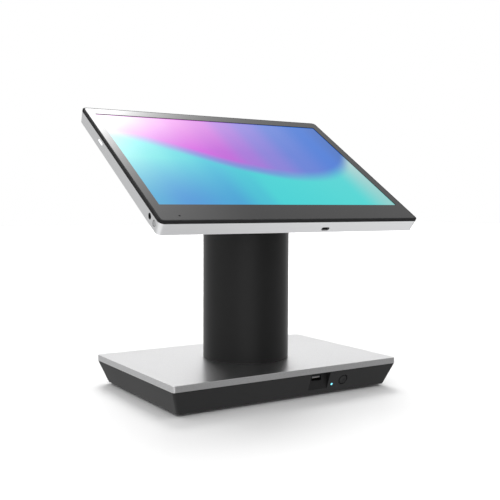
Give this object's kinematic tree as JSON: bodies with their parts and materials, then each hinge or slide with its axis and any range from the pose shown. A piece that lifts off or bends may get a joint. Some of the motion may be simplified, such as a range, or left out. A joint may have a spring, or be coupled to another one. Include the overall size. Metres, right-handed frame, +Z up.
{
  "type": "pos touchscreen terminal",
  "caption": "Counter-top checkout touchscreen on a round column: the head tilts and swivels on a weighted base with a front port pocket and push buttons.",
  "frame": {"origin": "middle of the whole object's outline seen from above, on the table under the feet", "axes": "+X to the right across the screen, +Y away from the cashier, +Z up; the cashier stands at -Y"},
  "size_m": [0.333, 0.2108, 0.3231],
  "materials": {
    "plate_aluminium": "bead blasted, clear anodised",
    "frame_aluminium": "satin anodised",
    "shell_plastic": "fine texture, dark grey",
    "column_coat": "smooth satin coat, near black",
    "black_plastic": "matte",
    "back_plastic": "fine texture",
    "cover_glass": "polished, black printed border",
    "panel": "laminated display panel",
    "chassis_aluminium": "stamped",
    "sink_aluminium": "extruded, black anodised",
    "board": "solder resist",
    "port_steel": "plated",
    "plain_steel": "zinc plated",
    "turret_steel": "black coat on steel",
    "slip_plastic": "low friction",
    "grey_button": "satin",
    "dark_button": "satin",
    "cyan_lens": "lit light pipe",
    "white_lens": "lit light pipe",
    "foot_rubber": "matte"
  },
  "bodies": {
    "base": {"base_top_plate": "plate_aluminium", "base_shell": "shell_plastic", "bottom_cover": "turret_steel", "base_feet": "foot_rubber", "bottom_screws": "plain_steel", "ballast_plate": "plain_steel", "io_board": "board", "front_board": "board", "usb_a_port": "port_steel", "rear_usb_ports": "port_steel", "lan_port": "port_steel", "drawer_port": "black_plastic", "dc_inlet": "black_plastic", "base_button_switch": "black_plastic", "base_status_light": "cyan_lens", "column_foot_ring": "black_plastic", "column_tube": "column_coat", "post_foot": "plain_steel", "column_post": "plain_steel", "post_head": "plain_steel", "post_bolts": "plain_steel", "column_cap": "black_plastic", "cap_screws": "plain_steel", "swivel_washer": "slip_plastic", "swivel_spring": "plain_steel"},
    "turret": {"swivel_turret": "turret_steel", "swivel_retainer": "plain_steel", "tilt_shaft": "plain_steel", "tilt_washers": "slip_plastic", "disc_springs": "plain_steel", "tilt_nuts": "plain_steel"},
    "head": {"touch_glass": "cover_glass", "glass_border": "cover_glass", "screen_surround": "black_plastic", "head_frame": "frame_aluminium", "back_cover": "back_plastic", "lcd_panel": "panel", "mid_frame": "chassis_aluminium", "main_board": "board", "processor": "black_plastic", "heat_sink": "sink_aluminium", "speakers": "black_plastic", "side_board": "board", "audio_jack": "black_plastic", "power_button_ring": "black_plastic", "side_switch": "black_plastic", "status_light": "white_lens", "usb_board": "board", "usb_c_port": "port_steel", "microphone": "black_plastic", "hinge_bracket": "turret_steel", "bracket_screws": "plain_steel", "back_screws": "plain_steel"},
    "base_button": {"base_power_button": "dark_button"},
    "head_button": {"head_power_button": "grey_button"}
  },
  "joints": [
    {"name": "head_swivel", "type": "hinge", "parent": "base", "child": "turret", "pos_m": [0, 0.00667, 0.182], "axis": [0, 0, 1], "range_deg": [-90, 90]},
    {"name": "head_tilt", "type": "hinge", "parent": "turret", "child": "head", "pos_m": [0, -0.01833, 0.2032], "axis": [1, 0, 0], "range_deg": [-22, 35]},
    {"name": "base_power_press", "type": "slide", "parent": "base", "child": "base_button", "axis": [0, 0.9363, 0.3511], "range_m": [0, 0.0007], "stiffness_N_per_m": 2000, "springref_m": -0.0003},
    {"name": "head_power_press", "type": "slide", "parent": "head", "child": "head_button", "axis": [1, 0, 0], "range_m": [0, 0.0006], "stiffness_N_per_m": 2000, "springref_m": -0.0003}
  ]
}
